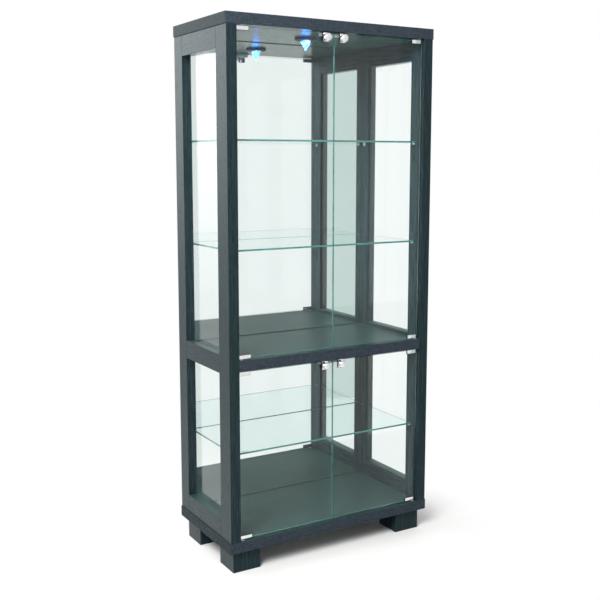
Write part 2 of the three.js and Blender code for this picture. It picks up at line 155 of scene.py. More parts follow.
def piece(name, shells, finishes, body, stands_for=(), crease=32):
    """One named object from its shells, faces out, smooth but for edges sharper than the crease."""
    starts = np.cumsum([0] + [len(points) for points, _, _ in shells])
    points = np.concatenate([points for points, _, _ in shells])
    faces = [[i + start for i in face] for start, (_, shell, _) in zip(starts, shells) for face in shell]
    mesh = bpy.data.meshes.new(name)
    mesh.from_pydata(points.tolist(), [], faces)
    marks = [mark for _, _, shell_marks in shells for mark in shell_marks]
    mesh.polygons.foreach_set("material_index", marks)
    for material in finishes:
        mesh.materials.append(material)
    outward(mesh)
    mesh.shade_smooth()
    mesh.set_sharp_from_angle(angle=math.radians(crease))
    made = bpy.data.objects.new(name, mesh)
    bpy.context.scene.collection.objects.link(made)
    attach(made, body)
    if stands_for:
        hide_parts(*stands_for)
    return made


def corners_of(node):
    """Lowest and highest corner of a frame node as arrays."""
    return tuple(np.array(corner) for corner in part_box(node))


# ---- Shader building ----


def feed(tree, socket, value):
    """Links a socket to another, or sets its own value."""
    if isinstance(value, bpy.types.NodeSocket):
        tree.links.new(value, socket)
    else:
        socket.default_value = value


def node(tree, kind, inputs=None, **settings):
    """A new node with its settings and inputs."""
    made = tree.nodes.new("ShaderNode" + kind)
    for name, value in settings.items():
        setattr(made, name, value)
    for name, value in (inputs or {}).items():
        feed(tree, made.inputs[name], value)
    return made


def maths(tree, operation, *values):
    """The result of a Math node."""
    return node(tree, "Math", dict(enumerate(values)), operation=operation).outputs[0]


def noise(tree, vector, scale, detail=2.0, roughness=0.5, distortion=0.0):
    """The plain value of a noise texture."""
    inputs = {
        "Vector": vector,
        "Scale": scale,
        "Detail": detail,
        "Roughness": roughness,
        "Distortion": distortion,
    }
    return node(tree, "TexNoise", inputs).outputs[0]


def spread(tree, value, low, high, to_low=0.0, to_high=1.0):
    """A value between two limits, carried smoothly to two others."""
    inputs = {"Value": value, "From Min": low, "From Max": high, "To Min": to_low, "To Max": to_high}
    return node(tree, "MapRange", inputs, interpolation_type="SMOOTHSTEP").outputs[0]


def blend_colour(tree, factor, first, second):
    """Two colours mixed by a factor."""
    made = node(tree, "Mix", data_type="RGBA")
    feed(tree, made.inputs[0], factor)
    feed(tree, made.inputs[6], first)
    feed(tree, made.inputs[7], second)
    return made.outputs[2]


def group(name, inputs, outputs):
    """A new shader node group with (kind, default) inputs and named outputs: its tree, what comes in, and
    the sockets that its results go to."""
    tree = bpy.data.node_groups.new(name, "ShaderNodeTree")
    for label, (kind, default) in inputs.items():
        socket = tree.interface.new_socket(label, in_out="INPUT", socket_type="NodeSocket" + kind)
        if default is not None:
            socket.default_value = default
    for label, kind in outputs.items():
        tree.interface.new_socket(label, in_out="OUTPUT", socket_type="NodeSocket" + kind)
    source = tree.nodes.new("NodeGroupInput")
    sink = tree.nodes.new("NodeGroupOutput")
    return tree, source.outputs, sink.inputs


def use(tree, made_group, **inputs):
    """A group placed in a material with its own values: its outputs."""
    placed = tree.nodes.new("ShaderNodeGroup")
    placed.node_tree = made_group
    for label, value in inputs.items():
        feed(tree, placed.inputs[label.replace("_", " ")], value)
    return placed.outputs


def grain_group():
    """Open-pored wood. The grain runs along the vector's stretched axis: growth rings are a folded noise,
    pores are a much finer noise cut off high, thicker where the rings are light, and mottle lies between."""
    tree, given, result = group(
        "open_grain",
        {"Vector": ("Vector", None), "Pore Amount": ("Float", 1.0)},
        {"Rings": "Float", "Pores": "Float", "Mottle": "Float"},
    )
    vector = given["Vector"]
    figure = noise(tree, vector, 11.0, 3.0, 0.5, 0.6)
    folded = maths(tree, "PINGPONG", maths(tree, "MULTIPLY", figure, 11.0), 0.5)
    rings = maths(tree, "MULTIPLY", folded, 2.0)
    pores = spread(tree, noise(tree, vector, 700.0, 1.0), 0.52, 0.7)
    clusters = spread(tree, noise(tree, vector, 160.0, 2.0), 0.42, 0.66)
    share = maths(tree, "MULTIPLY_ADD", rings, 0.6, 0.4)
    pores = maths(tree, "MULTIPLY", maths(tree, "MULTIPLY", pores, share), given["Pore Amount"])
    feed(tree, result["Rings"], rings)
    feed(tree, result["Pores"], pores)
    feed(tree, result["Mottle"], clusters)
    return tree


def edge_wear_and_highlight_group():
    """Rubbed edges and a painted edge highlight: how far a rounded normal leans away from the true one,
    broken up by a noise.
    """
    tree, given, result = group(
        "edge_wear_and_painted_highlight",
        {"Vector": ("Vector", None), "Radius": ("Float", 0.001), "Amount": ("Float", 1.0)},
        {"Wear And Highlight": "Float"},
    )
    round_normal = node(tree, "Bevel", {"Radius": given["Radius"]}, samples=4).outputs[0]
    true_normal = node(tree, "NewGeometry").outputs["True Normal"]
    alike = node(tree, "VectorMath", {0: round_normal, 1: true_normal}, operation="DOT_PRODUCT")
    # This edge mask lightens colour along edges: partly wear, partly a painted edge highlight.
    edge = spread(tree, alike.outputs["Value"], 0.995, 0.86)
    patches = spread(tree, noise(tree, given["Vector"], 38.0, 4.0, 0.7), 0.4, 0.66)
    wear_and_painted_light = maths(tree, "MULTIPLY", edge, patches)
    feed(tree, result["Wear And Highlight"], maths(tree, "MULTIPLY", wear_and_painted_light, given["Amount"]))
    return tree


def dust_group():
    """A thin film of dust on what faces up: the normal's upward part times a cloudy, specked noise."""
    tree, given, result = group(
        "dust_film",
        {"Vector": ("Vector", None), "Amount": ("Float", 0.3)},
        {"Dust": "Float"},
    )
    normal = node(tree, "NewGeometry").outputs["Normal"]
    up = spread(tree, node(tree, "SeparateXYZ", {0: normal}).outputs["Z"], 0.6, 1.0)
    clouds = spread(tree, noise(tree, given["Vector"], 6.0, 5.0, 0.65), 0.3, 0.75)
    specks = spread(tree, noise(tree, given["Vector"], 900.0, 0.0), 0.72, 0.8)
    film = maths(tree, "MULTIPLY_ADD", clouds, 0.6, specks)
    settled = maths(tree, "MULTIPLY", film, up)
    feed(tree, result["Dust"], maths(tree, "MULTIPLY", settled, given["Amount"]))
    return tree


def handling_group():
    """Marks of handling and wiping: smears from a distorted noise, and fine lines from a drawn-out one."""
    tree, given, result = group(
        "handling_marks",
        {"Vector": ("Vector", None), "Scale": ("Float", 9.0), "Amount": ("Float", 1.0)},
        {"Smears": "Float", "Lines": "Float"},
    )
    smears = spread(tree, noise(tree, given["Vector"], given["Scale"], 4.0, 0.6, 1.6), 0.46, 0.74)
    drawn_out = {"Vector": given["Vector"], "Rotation": (0.2, 0.5, 0.3), "Scale": (1, 1, 14)}
    drawn = node(tree, "Mapping", drawn_out)
    lines = spread(tree, noise(tree, drawn.outputs[0], 60.0, 2.0), 0.5, 0.8)
    feed(tree, result["Smears"], maths(tree, "MULTIPLY", smears, given["Amount"]))
    feed(tree, result["Lines"], maths(tree, "MULTIPLY", lines, given["Amount"]))
    return tree


GRAIN = grain_group()
EDGE_WEAR_AND_HIGHLIGHT = edge_wear_and_highlight_group()
DUST = dust_group()
HANDLING = handling_group()


def finish(name, **fixed):
    """A new material with one Principled shader: the tree, the shader and the object coordinates."""
    made = bpy.data.materials.new(name)
    made.use_nodes = True
    tree = made.node_tree
    shader = tree.nodes["Principled BSDF"]
    for label, value in fixed.items():
        shader.inputs[label.replace("_", " ")].default_value = value
    place = node(tree, "TexCoord").outputs["Object"]
    return made, tree, shader, place


def bump(tree, shader, height, strength, distance):
    """A height fed to the shader's normal."""
    inputs = {"Height": height, "Strength": strength, "Distance": distance}
    feed(tree, shader.inputs["Normal"], node(tree, "Bump", inputs).outputs[0])


# ---- Finishes ----

GRAIN_STRETCH = 1 / 18
COLD_SHEEN = (0.5, 0.93, 1.0, 1)


def black_veneer(name, axis, gloss=0.18, edging=False):
    """Black stained open-grain veneer under a satin lacquer, with the grain along one axis. What faces up is
    rubbed rougher with fewer open pores and painted greener as a painted reflection tint; what faces down is
    glossier and painted a lighter teal as a painted sheen. Paler edges are partly wear and partly a painted
    highlight. The edging on the front of a board is a greyer strip with coarser flecks and fewer pores."""
    made, tree, shader, place = finish(name, Specular_IOR_Level=gloss, Specular_Tint=COLD_SHEEN)
    stretch = [1.0, 1.0, 1.0]
    stretch[axis] = GRAIN_STRETCH
    drawn = node(tree, "Mapping", {"Vector": place, "Scale": stretch}).outputs[0]
    grain = use(tree, GRAIN, Vector=drawn, Pore_Amount=1.0)
    edge_wear_and_highlight_mask = use(tree, EDGE_WEAR_AND_HIGHLIGHT, Vector=place, Radius=0.0012, Amount=0.4)["Wear And Highlight"]
    dust = use(tree, DUST, Vector=place, Amount=0.06)["Dust"]
    facing = node(tree, "SeparateXYZ", {0: node(tree, "NewGeometry").outputs["Normal"]}).outputs
    # Painted reflection tint: what faces up is painted greener for the light it reflects, and rubbing also
    # makes it rougher with fewer open pores.
    upward_rub_and_painted_tint = spread(tree, facing["Z"], 0.5, 0.95)
    # Painted sheen: what faces down is painted a lighter teal for the light it reflects, and it is also
    # glossier.
    downward_gloss_and_painted_sheen = spread(tree, facing["Z"], -0.5, -0.95)
    pores = maths(tree, "MULTIPLY", grain["Pores"], maths(tree, "MULTIPLY_ADD", upward_rub_and_painted_tint, -0.88, 1.0))
    wood = blend_colour(tree, grain["Rings"], (0.0122, 0.0208, 0.0243, 1), (0.0150, 0.0256, 0.0298, 1))
    wood = blend_colour(tree, grain["Mottle"], wood, (0.0180, 0.0304, 0.0350, 1))
    # The greener colour painted on what faces up is a painted reflection tint.
    wear_and_painted_light = blend_colour(tree, grain["Mottle"], (0.0150, 0.0370, 0.0345, 1), (0.0185, 0.0430, 0.0400, 1))
    wood = blend_colour(tree, upward_rub_and_painted_tint, wood, wear_and_painted_light)
    # The lighter teal painted on what faces down is a painted sheen.
    wood = blend_colour(tree, downward_gloss_and_painted_sheen, wood, (0.036, 0.085, 0.078, 1))
    if edging:
        strip = spread(tree, facing["Y"], -0.5, -0.9)
        flecks = node(tree, "Mapping", {"Vector": place, "Scale": (0.45, 1, 1)}).outputs[0]
        coarse = spread(tree, noise(tree, flecks, 460.0, 3.0, 0.7), 0.36, 0.66)
        grey = blend_colour(tree, coarse, (0.022, 0.031, 0.042, 1), (0.058, 0.072, 0.090, 1))
        wood = blend_colour(tree, strip, wood, grey)
        pores = maths(tree, "MULTIPLY", pores, maths(tree, "MULTIPLY_ADD", strip, -0.75, 1.0))
    wood = blend_colour(tree, pores, wood, (0.003, 0.004, 0.006, 1))
    # Paler edges: partly edge wear, partly a painted edge highlight.
    wood = blend_colour(tree, edge_wear_and_highlight_mask, wood, (0.10, 0.105, 0.10, 1))
    wood = blend_colour(tree, dust, wood, (0.20, 0.24, 0.23, 1))
    feed(tree, shader.inputs["Base Color"], wood)
    rough = maths(tree, "MULTIPLY_ADD", grain["Mottle"], 0.05, 0.25)
    rough = maths(tree, "MULTIPLY_ADD", pores, 0.2, rough)
    rough = maths(tree, "MULTIPLY_ADD", upward_rub_and_painted_tint, 0.10, rough)
    rough = maths(tree, "MULTIPLY_ADD", downward_gloss_and_painted_sheen, -0.11, rough)
    feed(tree, shader.inputs["Roughness"], maths(tree, "MULTIPLY_ADD", dust, 0.35, rough))
    figure = maths(tree, "MULTIPLY", grain["Rings"], 0.06)
    relief = maths(tree, "MULTIPLY_ADD", pores, -1.0, figure)
    bump(tree, shader, relief, 0.25, 0.00012)
    return made


def glass(name, tint, dust_amount, index):
    """Clear float glass: wiping marks and a little dust change its roughness, and lamps shine through it. A
    low index of refraction keeps the sheen of the big flat panes faint."""
    made, tree, shader, place = finish(
        name,
        Base_Color=tint,
        Transmission_Weight=1.0,
        IOR=index,
        Metallic=0.0,
        Specular_IOR_Level=0.12,
    )
    marks = use(tree, HANDLING, Vector=place, Scale=7.0, Amount=1.0)
    dust = use(tree, DUST, Vector=place, Amount=dust_amount)["Dust"]
    wiped = maths(tree, "MULTIPLY", marks["Lines"], 0.006)
    rough = maths(tree, "MULTIPLY_ADD", marks["Smears"], 0.018, wiped)
    feed(tree, shader.inputs["Roughness"], maths(tree, "MULTIPLY_ADD", dust, 0.12, rough))
    wave = noise(tree, place, 2.2, 1.0)
    bump(tree, shader, wave, 0.2, 0.0002)
    clear = node(tree, "BsdfTransparent", {"Color": tint}).outputs[0]
    lamp_ray = node(tree, "LightPath").outputs["Is Shadow Ray"]
    mixed = node(tree, "MixShader", {0: lamp_ray, 1: shader.outputs[0], 2: clear}).outputs[0]
    feed(tree, tree.nodes["Material Output"].inputs["Surface"], mixed)
    return made


def glass_edge(name, shade_from=None):
    """The ground and polished edge of float glass: deep green where the light runs along the pane, and a
    painted shade beyond a distance off the middle, painted dark for the frame taking that light away."""
    made, tree, shader, place = finish(name, IOR=1.52, Transmission_Weight=0.25, Metallic=0.0)
    streaks = node(tree, "Mapping", {"Vector": place, "Scale": (1.0, 1.0, 6.0)}).outputs[0]
    depth = spread(tree, noise(tree, streaks, 9.0, 4.0, 0.6), 0.3, 0.72)
    colour = blend_colour(tree, depth, (0.022, 0.125, 0.112, 1), (0.050, 0.205, 0.190, 1))
    # Painted shade: the edge is painted dark beyond a distance off the middle, for the frame's shadow on it.
    if shade_from:
        off_middle = maths(tree, "ABSOLUTE", node(tree, "SeparateXYZ", {0: place}).outputs["X"])
        shade = spread(tree, off_middle, shade_from, shade_from + 0.002)
        colour = blend_colour(tree, shade, colour, (0.004, 0.016, 0.016, 1))
    feed(tree, shader.inputs["Base Color"], colour)
    grind = noise(tree, streaks, 300.0, 2.0)
    feed(tree, shader.inputs["Roughness"], maths(tree, "MULTIPLY_ADD", grind, 0.12, 0.08))
    bump(tree, shader, grind, 0.15, 0.0001)
    return made


def mirror_glass():
    """Silvered glass, a little green, with faint wiping marks."""
    made, tree, shader, place = finish("mirror_glass", Metallic=1.0, Coat_Weight=0.25, Coat_Roughness=0.01)
    marks = use(tree, HANDLING, Vector=place, Scale=5.0, Amount=1.0)
    silver = blend_colour(tree, marks["Smears"], (0.915, 0.935, 0.930, 1), (0.89, 0.915, 0.91, 1))
    feed(tree, shader.inputs["Base Color"], silver)
    wiped = maths(tree, "MULTIPLY", marks["Lines"], 0.006)
    feed(tree, shader.inputs["Roughness"], maths(tree, "MULTIPLY_ADD", marks["Smears"], 0.02, wiped))
    bump(tree, shader, noise(tree, place, 1.6, 1.0), 0.2, 0.0005)
    return made


def hardboard():
    """Black faced hardboard: a mat of short fibres, paler where it is scuffed."""
    made, tree, shader, place = finish("black_hardboard", Specular_IOR_Level=0.3)
    drawn = node(tree, "Mapping", {"Vector": place, "Scale": (1, 1, 0.35)}).outputs[0]
    fibres = noise(tree, drawn, 260.0, 3.0)
    scuffs = spread(tree, noise(tree, place, 7.0, 6.0, 0.72), 0.55, 0.78)
    colour = blend_colour(tree, fibres, (0.022, 0.021, 0.020, 1), (0.055, 0.052, 0.049, 1))
    colour = blend_colour(tree, maths(tree, "MULTIPLY", scuffs, 0.45), colour, (0.13, 0.12, 0.105, 1))
    feed(tree, shader.inputs["Base Color"], colour)
    feed(tree, shader.inputs["Roughness"], maths(tree, "MULTIPLY_ADD", fibres, 0.25, 0.55))
    bump(tree, shader, fibres, 0.5, 0.0003)
    return made


def polished_metal():
    """Bright chrome with finger marks, a soft polish, and brighter edges that are partly wear and partly a
    painted highlight.
    """
    made, tree, shader, place = finish("polished_metal", Metallic=1.0)
    marks = use(tree, HANDLING, Vector=place, Scale=70.0, Amount=1.0)
    edge_wear_and_highlight_mask = use(tree, EDGE_WEAR_AND_HIGHLIGHT, Vector=place, Radius=0.0006, Amount=0.5)["Wear And Highlight"]
    metal = blend_colour(tree, marks["Smears"], (0.76, 0.77, 0.785, 1), (0.64, 0.65, 0.67, 1))
    # Brighter edges: partly rubbed wear, partly a painted edge highlight.
    feed(tree, shader.inputs["Base Color"], blend_colour(tree, edge_wear_and_highlight_mask, metal, (0.93, 0.92, 0.90, 1)))
    rough = maths(tree, "MULTIPLY_ADD", marks["Smears"], 0.14, 0.07)
    feed(tree, shader.inputs["Roughness"], maths(tree, "MULTIPLY_ADD", edge_wear_and_highlight_mask, 0.2, rough))
    bump(tree, shader, marks["Lines"], 0.12, 0.00005)
    return made


def moulded(name, pale, deep, rough, clear=0.0):
    """Moulded plastic: a fine spark-eroded texture, cloudy colour and handling marks."""
    made, tree, shader, place = finish(name, Transmission_Weight=clear, IOR=1.49, Metallic=0.0)
    skin_noise = noise(tree, place, 2600.0, 2.0)
    clouds = noise(tree, place, 90.0, 3.0)
    feed(tree, shader.inputs["Base Color"], blend_colour(tree, clouds, pale, deep))
    marks = use(tree, HANDLING, Vector=place, Scale=120.0, Amount=1.0)
    feed(tree, shader.inputs["Roughness"], maths(tree, "MULTIPLY_ADD", marks["Smears"], 0.12, rough))
    bump(tree, shader, skin_noise, 0.25, 0.00005)
    return made


def dark_metal():
    """Dark anodised metal with turning lines round the lamp's axis, and paler edges that are partly wear and
    partly a painted highlight.
    """
    made, tree, shader, place = finish("dark_metal", Metallic=0.3, Specular_IOR_Level=0.1)
    flat = node(tree, "Mapping", {"Vector": place, "Scale": (1, 1, 0)}).outputs[0]
    reach = node(tree, "VectorMath", {0: flat}, operation="LENGTH").outputs["Value"]
    turns = node(tree, "CombineXYZ", {"X": maths(tree, "MULTIPLY", reach, 14.0)}).outputs[0]
    lines = noise(tree, turns, 160.0, 2.0)
    edge_wear_and_highlight_mask = use(tree, EDGE_WEAR_AND_HIGHLIGHT, Vector=place, Radius=0.0008, Amount=0.7)["Wear And Highlight"]
    colour = blend_colour(tree, lines, (0.028, 0.034, 0.042, 1), (0.075, 0.085, 0.098, 1))
    # Paler edges: partly worn anodising, partly a painted edge highlight.
    feed(tree, shader.inputs["Base Color"], blend_colour(tree, edge_wear_and_highlight_mask, colour, (0.42, 0.44, 0.46, 1)))
    feed(tree, shader.inputs["Roughness"], maths(tree, "MULTIPLY_ADD", lines, 0.15, 0.45))
    bump(tree, shader, lines, 0.2, 0.0001)
    return made


def cut_crystal():
    """Lead crystal lit from above, though no lamp itself: a painted glow, each small cell of it taking its
    own share of a cold light.
    """
    made, tree, shader, place = finish(
        "cut_crystal",
        Base_Color=(0.30, 0.55, 0.95, 1),
        Transmission_Weight=0.6,
        IOR=1.6,
        Metallic=0.0,
        Emission_Strength=6.0,
    )
    # Painted glow: the crystal is no lamp, and its emission stands for the lamp's light carried through it.
    cells = node(tree, "TexVoronoi", {"Vector": place, "Scale": 130.0}).outputs["Color"]
    share = spread(tree, node(tree, "SeparateColor", {0: cells}).outputs[0], 0.35, 0.8)
    glow = blend_colour(tree, share, (0.003, 0.022, 0.12, 1), (0.12, 0.36, 1.0, 1))
    feed(tree, shader.inputs["Emission Color"], glow)
    feed(tree, shader.inputs["Roughness"], maths(tree, "MULTIPLY", noise(tree, place, 80.0), 0.05))
    return made


def light_board():
    """The lamp's lit board: a white solder mask with bright chips."""
    made, tree, shader, place = finish("light_board", Roughness=0.4, Emission_Strength=9.0)
    mask = spread(tree, noise(tree, place, 160.0, 1.0), 0.35, 0.6)
    paint = blend_colour(tree, mask, (0.7, 0.75, 0.8, 1), (0.9, 0.92, 0.95, 1))
    feed(tree, shader.inputs["Base Color"], paint)
    glow = blend_colour(tree, mask, (0.2, 0.45, 1, 1), (0.6, 0.8, 1, 1))
    feed(tree, shader.inputs["Emission Color"], glow)
    return made


VENEER = [black_veneer("black_veneer_along_" + "xyz"[axis], axis) for axis in range(3)]
EDGED_VENEER = black_veneer("black_veneer_with_edging", 0, gloss=0.04, edging=True)
PANE = glass("clear_glass", (0.955, 0.985, 0.978, 1), 0.1, 1.3)
SHELF_GLASS = glass("shelf_glass", (0.825, 0.930, 0.918, 1), 0.3, 1.45)
EDGE = glass_edge("glass_edge")
DOOR_EDGE = glass_edge("door_glass_edge", shade_from=0.35)
MIRROR = mirror_glass()
BACKING = hardboard()
METAL = polished_metal()
CLEAR = moulded("clear_plastic", (0.93, 0.97, 0.97, 1), (0.80, 0.88, 0.88, 1), 0.12, clear=0.7)
GREY = moulded("grey_plastic", (0.44, 0.50, 0.49, 1), (0.34, 0.39, 0.39, 1), 0.42)
RUBBER = moulded("black_rubber", (0.016, 0.016, 0.017, 1), (0.032, 0.032, 0.034, 1), 0.6)
DARK = dark_metal()
CRYSTAL = cut_crystal()
LIGHT_BOARD = light_board()


def dress(names, material):
    """Gives frame nodes their finish."""
    for name in names:
        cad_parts[name].material_slots[0].material = material


def dress_case():
    """Veneer with its grain along each board, rail and post, the mirrors and the back."""
    dress(("bottom_board", "middle_board", "top_board"), EDGED_VENEER)
    for hand in HANDS:
        dress((f"{hand}_top_rail", f"{hand}_middle_rail", f"{hand}_bottom_rail"), VENEER[1])
        dress((f"{hand}_front_stile", f"{hand}_rear_stile"), VENEER[2])
        dress((f"front_{hand}_foot", f"rear_{hand}_foot"), VENEER[2])
    dress(("upper_mirror", "lower_mirror"), MIRROR)
    dress(("back_panel",), BACKING)


# ---- Glass ----

GLASS_ARRIS = 0.5 * MM
SHELF_CORNER = 2 * MM
WINDOW_CORNER = 1 * MM
DOOR_CORNER = 1.5 * MM
STRIP_HEIGHT = 3.2 * MM
STRIP_THICKNESS = 1.6 * MM
MIRROR_OVER_DECK = 1 * MM


def slab(name, source, axis, body, corner, faces=PANE, edge=EDGE):
    """A glass pane in place of a frame node, thin along one axis, with ground arrises and a finish of its
    own on the edge."""
    low, high = corners_of(source)
    across = [i for i in range(3) if i != axis]
    size = high - low
    base = (low + high) / 2
    base[axis] = low[axis]
    outline = rectangle(size[across[0]], size[across[1]], corner)
    shell = prism(outline, soft_ends(size[axis], GLASS_ARRIS, 1), axis, base, side_mark=1)
    piece(name, [shell], [faces, edge], body, (source,))


def all_glass():
    """Three shelves, four window panes and four door panes."""
    for shelf in SHELVES:
        slab(f"{shelf}_glass", shelf, 2, "cabinet", SHELF_CORNER, SHELF_GLASS)
    for hand in HANDS:
        for storey in STOREYS:
            slab(f"{hand}_{storey}_window_glass", f"{hand}_{storey}_pane", 0, "cabinet", WINDOW_CORNER)
            door = f"{storey}_{hand}_door"
            slab(f"{door}_pane", f"{door}_glass", 1, door, DOOR_CORNER, edge=DOOR_EDGE)


def mirror_strips():
    """A dark packing strip at the foot of each mirror: a thin soft-edged bar as wide as the mirror."""
    for storey in STOREYS:
        low, high = corners_of(f"{storey}_mirror")
        deck = low[2] - MIRROR_OVER_DECK
        base = (low[0], low[1] - STRIP_THICKNESS / 2, deck + STRIP_HEIGHT / 2)
        section = rectangle(STRIP_THICKNESS, STRIP_HEIGHT, 0.5 * MM)
        bar = prism(section, soft_ends(high[0] - low[0], 0.3 * MM), 0, base)
        piece(f"{storey}_mirror_strip", [bar], [RUBBER], "cabinet")


# ---- Glazing beads ----

BEAD_PLAY = 0.2 * MM
BEAD_WIDTH = 9.6 * MM
BEAD_ROUND = 2.2 * MM
BEAD_ARRIS = 0.2 * MM
BEAD_PAST_PANE = 0.8 * MM


def bead(name, hand, storey, start, end, material):
    """A mitred strip between two corners of a window. Its section is a small rectangle with one round
    corner, and each point of it keeps its own distance from the pane's edge, so the ends meet at 45
    degrees."""
    side = HANDS[hand]
    pane_low, pane_high = corners_of(f"{hand}_{storey}_pane")
    stile_low, stile_high = corners_of(f"{hand}_front_stile")
    pane_face = max(abs(pane_low[0]), abs(pane_high[0])) - (pane_high[0] - pane_low[0])
    room_face = min(abs(stile_low[0]), abs(stile_high[0]))
    depth = pane_face - room_face - 2 * BEAD_PLAY
    corners = [[0, 0], [BEAD_WIDTH, 0], [BEAD_WIDTH, depth], [0, depth]]
    section = softened(corners, [BEAD_ARRIS, BEAD_ARRIS, BEAD_ROUND, BEAD_ARRIS])
    low = pane_low[1:] - BEAD_PAST_PANE
    high = pane_high[1:] + BEAD_PAST_PANE
    rings = np.empty((2, len(section), 3))
    for ring, corner in zip(rings, (start, end)):
        towards = 1 - 2 * np.array(corner)
        edge = np.where(np.array(corner) > 0, high, low)
        ring[:, 0] = side * (pane_face - BEAD_PLAY - section[:, 1])
        ring[:, 1:] = edge + section[:, :1] * towards
    piece(name, [skin(rings)], [material], "cabinet")


def all_beads():
    """Four strips round each of the four windows, with the grain along each."""
    strips = {
        "bottom": ((0, 0), (1, 0), 1),
        "rear": ((1, 0), (1, 1), 2),
        "top": ((1, 1), (0, 1), 1),
        "front": ((0, 1), (0, 0), 2),
    }
    for hand in HANDS:
        for storey in STOREYS:
            for edge, (start, end, axis) in strips.items():
                bead(f"{hand}_{storey}_{edge}_bead", hand, storey, start, end, VENEER[axis])


# ---- Shelf pins ----

STUB_RADIUS = 3 * MM
STUB_NOSE = 1.5 * MM
PIN_PROFILE = np.array([
    [3, 7.1], [3.8, 7.3], [4, 7.6], [4, 8.3],
    [2.3, 8.5], [2.3, 17.8], [1.6, 18.5],
]) * MM


def shelf_pins():
    """Clear pins: a shaft in the post, a collar on its face and a round-nosed stub under the glass."""
    nose = dome(STUB_RADIUS, -STUB_NOSE, STUB_NOSE, 4)[::-1] * [1, -1]
    radii, heights = np.concatenate([nose, PIN_PROFILE]).T
    for shelf in SHELVES:
        for row in ("front", "rear"):
            for hand, side in HANDS.items():
                source = f"{shelf}_{row}_{hand}_pin"
                low, high = corners_of(source)
                base = (low + high) / 2
                base[0] = high[0] if side < 0 else low[0]
                shell = turned(radii, heights, base, 0, side, 24)
                piece(f"{source}_clear", [shell], [CLEAR], "cabinet", (source,))


# ---- Doors ----

PIVOT_FROM_EDGE = 9 * MM
DOOR_END_PLAY = 4.5 * MM
CHANNEL_ARRIS = 0.25 * MM
CLAMP_OVER_GLASS = 2 * MM
CLAMP_ROOF = 1.7 * MM
CLAMP_CORNER = 1.4 * MM
GRUB_SCREW_STEP = 10 * MM
GRUB_SCREW_RADIUS = 2.4 * MM
GRUB_SCREW_HEIGHT = 0.6 * MM
LINER = 0.25 * MM
LINER_SHOWS = 0.9 * MM
LINER_ROOF = 1.9 * MM
LINER_CORNER = 0.2 * MM
CLIP_WIDTH = 22 * MM
CLIP_HEIGHT = 29 * MM
CLIP_CORNER = 1 * MM
KNOB_BELOW_TOP = 15.5 * MM
KNOB_RADIUS = 12.5 * MM
KNOB_RISE = 6 * MM
NECK_GAP = 0.7 * MM
NECK_PROFILE = np.array([
    [7, -0.8], [7, 0.6], [6.6, 1.2], [5.4, 2.2], [5, 3.4],
    [5, 8.0], [5.4, 9.4], [7, 11.0], [10, 12.6], [11.9, 13.8],
]) * MM
BUSH_PROFILE = np.array([
    [2.3, 0.8], [6.4, 0.8], [6.9, 0.4], [6.9, 0.02],
    [4.35, 0.02], [4.35, -9.4], [2.3, -9.4],
]) * MM


def channel_outline(half, height, slot, roof, corner):
    """An upside-down U about the glass, anticlockwise, from its open foot up one side and down the other."""
    corners = [(half, -height), (half, 0), (-half, 0), (-half, -height)]
    corners += [(-slot, -height), (-slot, -roof), (slot, -roof), (slot, -height)]
    fine = CHANNEL_ARRIS
    return softened(corners, [fine, corner, corner, fine, fine, fine, fine, fine])


def pivot_line(door, side):
    """Where a door's upright pivot axis stands: X, Y, and the glass's lowest and highest Z."""
    low, high = corners_of(f"{door}_glass")
    x = (high[0] if side > 0 else low[0]) - side * PIVOT_FROM_EDGE
    return x, (low[1] + high[1]) / 2, low[2], high[2]


def lined(name, door, slot, height, width, base, way=1):
    """The rubber liner of a channel: a thinner channel that shows a little past it on three sides."""
    outline = channel_outline(slot, height + LINER_SHOWS, slot - 0.8 * LINER, LINER_ROOF, LINER_CORNER)
    outline = outline * [1, way]
    outline = outline if way > 0 else outline[::-1]
    start = base - [LINER_SHOWS, 0, 0]
    shell = prism(outline, soft_ends(width + 2 * LINER_SHOWS, 0.05 * MM, 1), 0, start)
    piece(name, [shell], [RUBBER], door)


def socket_screw(base, axis, way, radius, height, hexagon=True, sides=24):
    """A screw head with a recess: circles up the outside, then a hexagon or a four-lobed cross downwards."""
    angle = np.linspace(0, 2 * np.pi, sides, endpoint=False)
    if hexagon:
        recess = 0.5 * radius / np.cos((angle + np.pi / 6) % (np.pi / 3) - np.pi / 6)
    else:
        recess = radius * (0.18 + 0.42 * np.abs(np.cos(2 * angle)) ** 3)
    plain = np.ones(sides)
    rows = [radius * plain, radius * plain, 0.93 * radius * plain, recess, 0.96 * recess]
    heights = [-0.2 * height, 0.7 * height, height, height, 0.3 * height]
    return turned(rows, heights, base, axis, way, sides)


